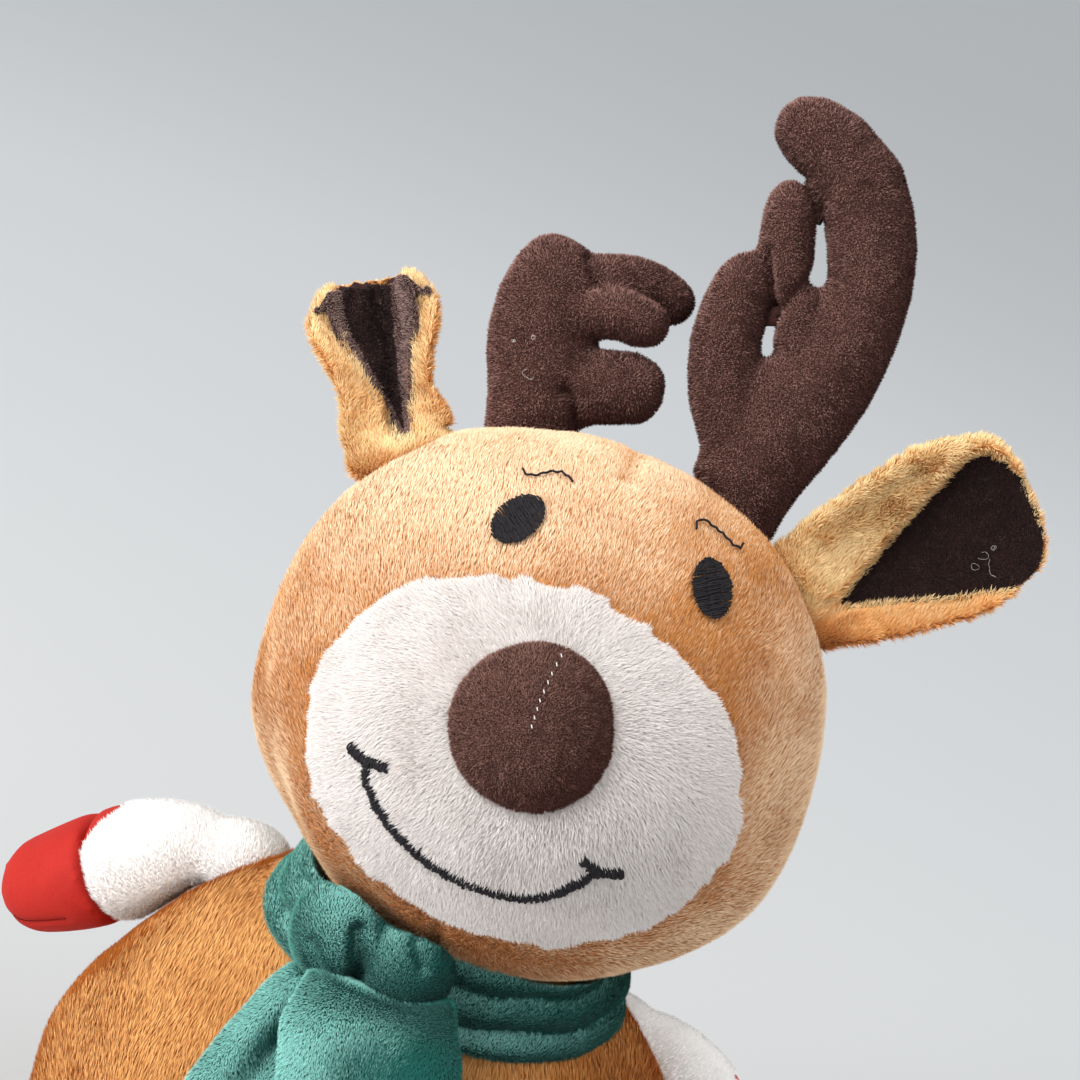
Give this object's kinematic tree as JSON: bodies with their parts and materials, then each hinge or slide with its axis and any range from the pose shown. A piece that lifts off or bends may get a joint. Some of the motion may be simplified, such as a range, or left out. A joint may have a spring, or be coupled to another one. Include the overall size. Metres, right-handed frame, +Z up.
{
  "type": "plush deer",
  "caption": "Sitting stuffed deer with a round head and body, white muzzle, folded ears, soft antlers, floppy limbs and a knotted scarf.",
  "frame": {"origin": "centre of the flat seat, on the surface the toy sits on", "axes": "+Z up, -Y the way the toy looks, +X to its own left side"},
  "size_m": [0.2356, 0.2643, 0.3734],
  "materials": {
    "plush_tan": "short tan plush pile",
    "plush_tan_deep": "longer tan plush pile",
    "plush_white": "white plush pile",
    "fleece_brown": "dark brown fleece",
    "thread_black": "black satin stitching",
    "plush_teal": "teal minky plush",
    "cloth_red": "smooth red cloth"
  },
  "bodies": {
    "torso": {"torso": "plush_tan_deep", "scarf_wrap": "plush_teal", "scarf_knot": "plush_teal"},
    "head": {"head_cover": "plush_tan", "muzzle": "plush_white", "nose": "fleece_brown", "right_eye": "thread_black", "left_eye": "thread_black", "right_brow": "thread_black", "left_brow": "thread_black", "mouth": "thread_black"},
    "right_ear": {"right_ear_outer": "plush_tan", "right_ear_lining": "fleece_brown"},
    "left_ear": {"left_ear_outer": "plush_tan", "left_ear_lining": "fleece_brown"},
    "right_antler": {"right_antler": "fleece_brown"},
    "left_antler": {"left_antler": "fleece_brown"},
    "right_arm": {"right_arm": "plush_white", "right_mitten": "cloth_red"},
    "left_arm": {"left_arm": "plush_white", "left_mitten": "cloth_red"},
    "right_leg": {"right_leg": "plush_white", "right_boot": "cloth_red"},
    "left_leg": {"left_leg": "plush_white", "left_boot": "cloth_red"},
    "tail": {"tail": "plush_tan_deep"},
    "scarf_front_end": {"scarf_tail_front": "plush_teal"},
    "scarf_side_end": {"scarf_tail_side": "plush_teal"}
  },
  "joints": [
    {"name": "head_turn", "type": "hinge", "parent": "torso", "child": "head", "pos_m": [0, 0, 0.151], "axis": [0, 0, 1], "range_deg": [-15, 15]},
    {"name": "right_ear_flap", "type": "hinge", "parent": "head", "child": "right_ear", "pos_m": [-0.0545, 0.01286, 0.25708], "axis": [-0.848, -0.1549, -0.5068], "range_deg": [-12, 12]},
    {"name": "left_ear_flap", "type": "hinge", "parent": "head", "child": "left_ear", "pos_m": [0.0515, 0.01433, 0.26186], "axis": [-0.7193, 0.2031, 0.6643], "range_deg": [-12, 12]},
    {"name": "right_antler_sway", "type": "hinge", "parent": "head", "child": "right_antler", "pos_m": [-0.0265, 0.01931, 0.27131], "axis": [-1, 0, 0], "range_deg": [-8, 8]},
    {"name": "left_antler_sway", "type": "hinge", "parent": "head", "child": "left_antler", "pos_m": [0.0265, 0.01931, 0.27131], "axis": [-1, 0, 0], "range_deg": [-8, 8]},
    {"name": "right_arm_lift", "type": "hinge", "parent": "torso", "child": "right_arm", "pos_m": [-0.055, 0.024, 0.131], "axis": [0, 1, 0], "range_deg": [0, 40]},
    {"name": "left_arm_lift", "type": "hinge", "parent": "torso", "child": "left_arm", "pos_m": [0.055, 0.024, 0.131], "axis": [0, -1, 0], "range_deg": [0, 40]},
    {"name": "right_leg_lift", "type": "hinge", "parent": "torso", "child": "right_leg", "pos_m": [-0.044, -0.0585, 0.036], "axis": [-0.9272, 0.3746, 0], "range_deg": [0, 30]},
    {"name": "left_leg_lift", "type": "hinge", "parent": "torso", "child": "left_leg", "pos_m": [0.044, -0.0585, 0.036], "axis": [-0.9272, -0.3746, 0], "range_deg": [0, 30]},
    {"name": "tail_wag", "type": "hinge", "parent": "torso", "child": "tail", "pos_m": [0, 0.07964, 0.052], "axis": [0, 0.1483, -0.9889], "range_deg": [-20, 20]},
    {"name": "scarf_front_lift", "type": "hinge", "parent": "torso", "child": "scarf_front_end", "pos_m": [-0.0105, -0.062, 0.15], "axis": [-1, 0, 0], "range_deg": [0, 50]},
    {"name": "scarf_side_lift", "type": "hinge", "parent": "torso", "child": "scarf_side_end", "pos_m": [-0.0335, -0.0555, 0.148], "axis": [-1, 0, 0], "range_deg": [0, 50]}
  ]
}
